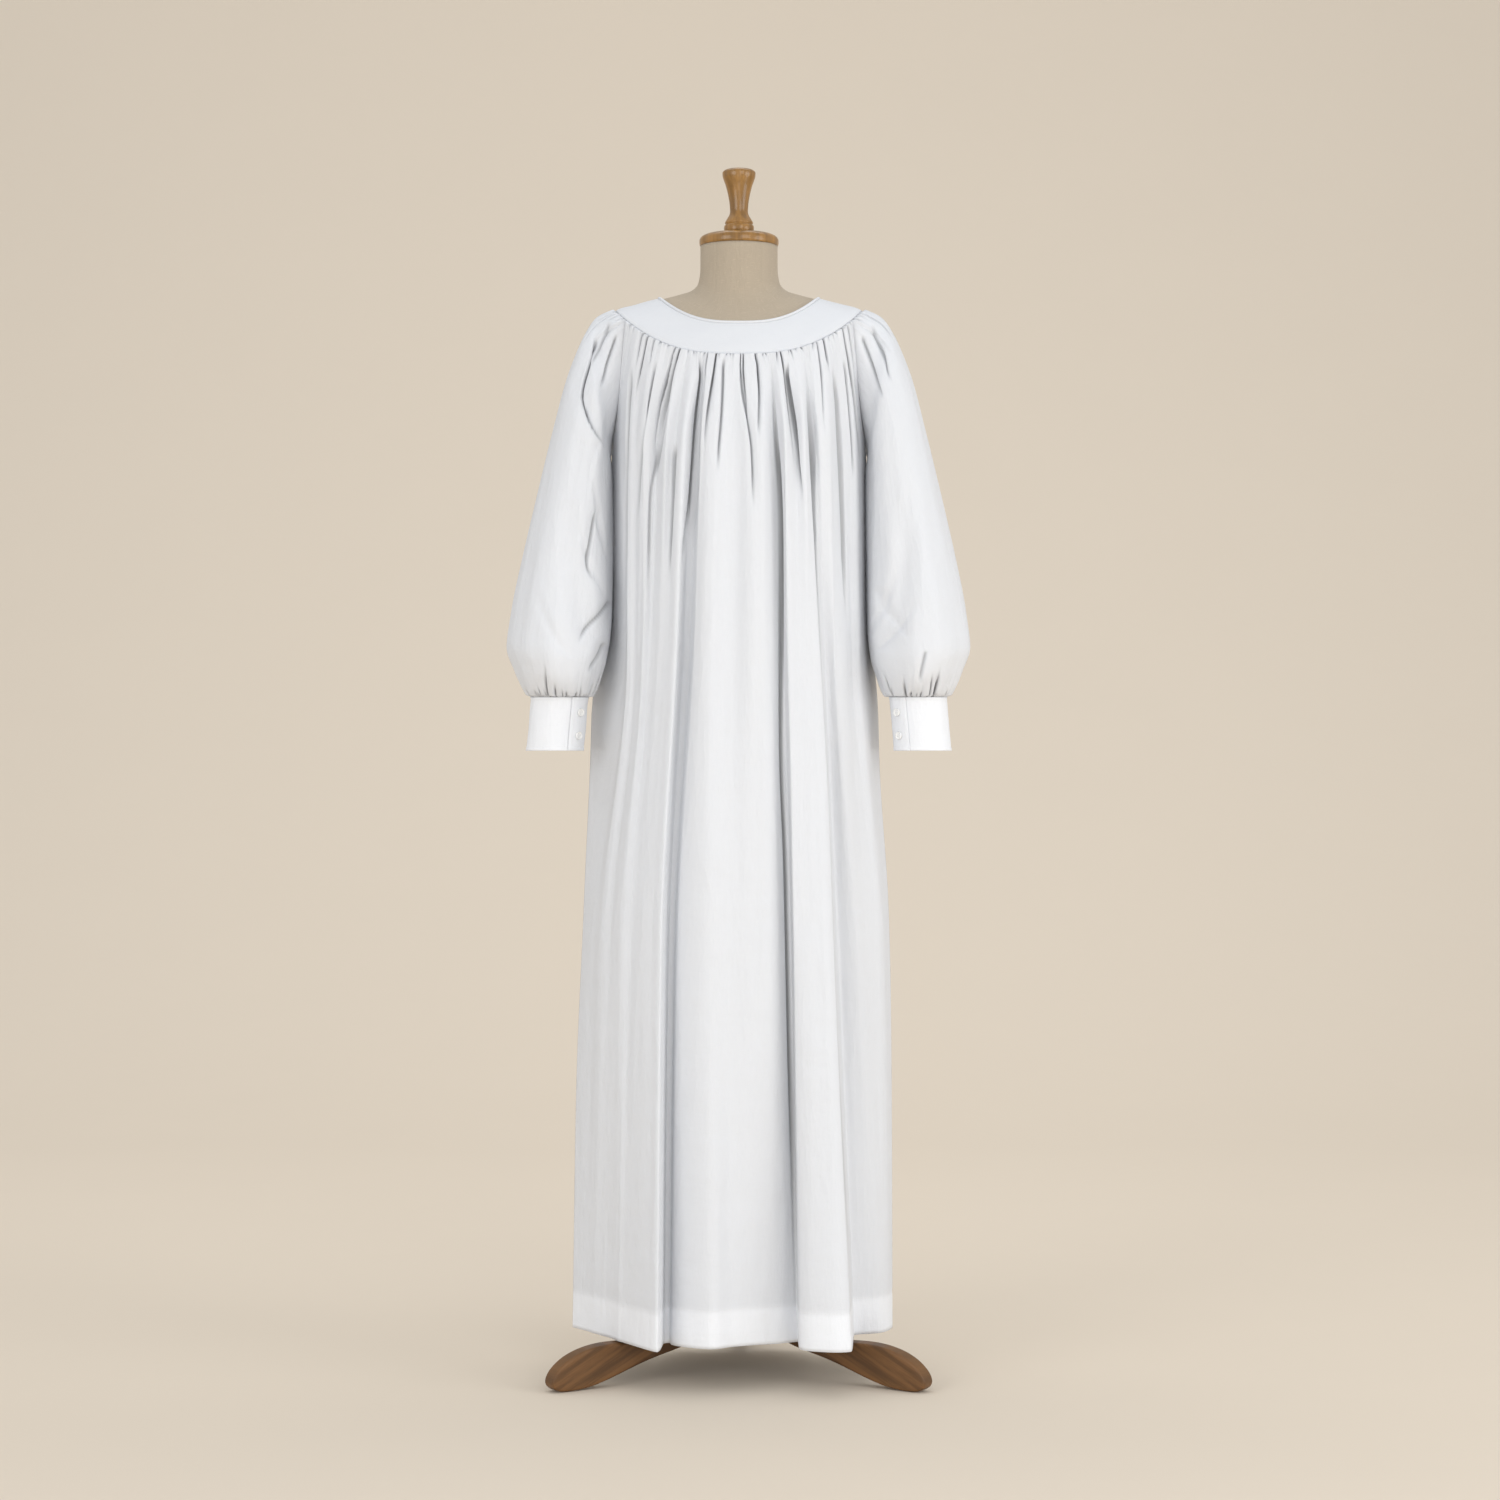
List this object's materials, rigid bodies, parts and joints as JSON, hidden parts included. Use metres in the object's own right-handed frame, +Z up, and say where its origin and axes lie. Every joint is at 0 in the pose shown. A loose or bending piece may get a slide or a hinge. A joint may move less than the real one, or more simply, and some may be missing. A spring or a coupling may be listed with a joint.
{
  "type": "rochet on a dress form and stand",
  "caption": "White cotton rochet with a plain yoke, gathered body and full sleeves in buttoned cuffs, on a linen dress form with a wooden tripod stand.",
  "frame": {"origin": "centre of the footprint's bounding box, on the floor under the feet", "axes": "+Z up the pole to the finial, -Y out of the front of the gown, +X towards the sleeve on the right as seen from the front"},
  "size_m": [0.6408, 0.488, 1.6834],
  "materials": {
    "cotton": "plain white cotton lawn, matt",
    "yoke_cotton": "white cotton in two layers, matt",
    "button": "white, polished",
    "form_linen": "natural linen, pulled tight over the form",
    "turned_wood": "turned and varnished, honey brown",
    "stand_wood": "dark stain, worn at the edges"
  },
  "bodies": {
    "root": {"front": "cotton", "back": "cotton", "sleeve_left": "cotton", "sleeve_right": "cotton", "cuff_left": "cotton", "cuff_right": "cotton", "neck_binding": "cotton", "yoke_front": "yoke_cotton", "yoke_back": "yoke_cotton", "button_left_1": "button", "button_left_2": "button", "button_right_1": "button", "button_right_2": "button", "form_torso": "form_linen", "neck_cap": "turned_wood", "finial": "turned_wood", "pole": "stand_wood", "hub": "stand_wood", "leg_front_left": "stand_wood", "leg_front_right": "stand_wood", "leg_back": "stand_wood"}
  },
  "joints": []
}
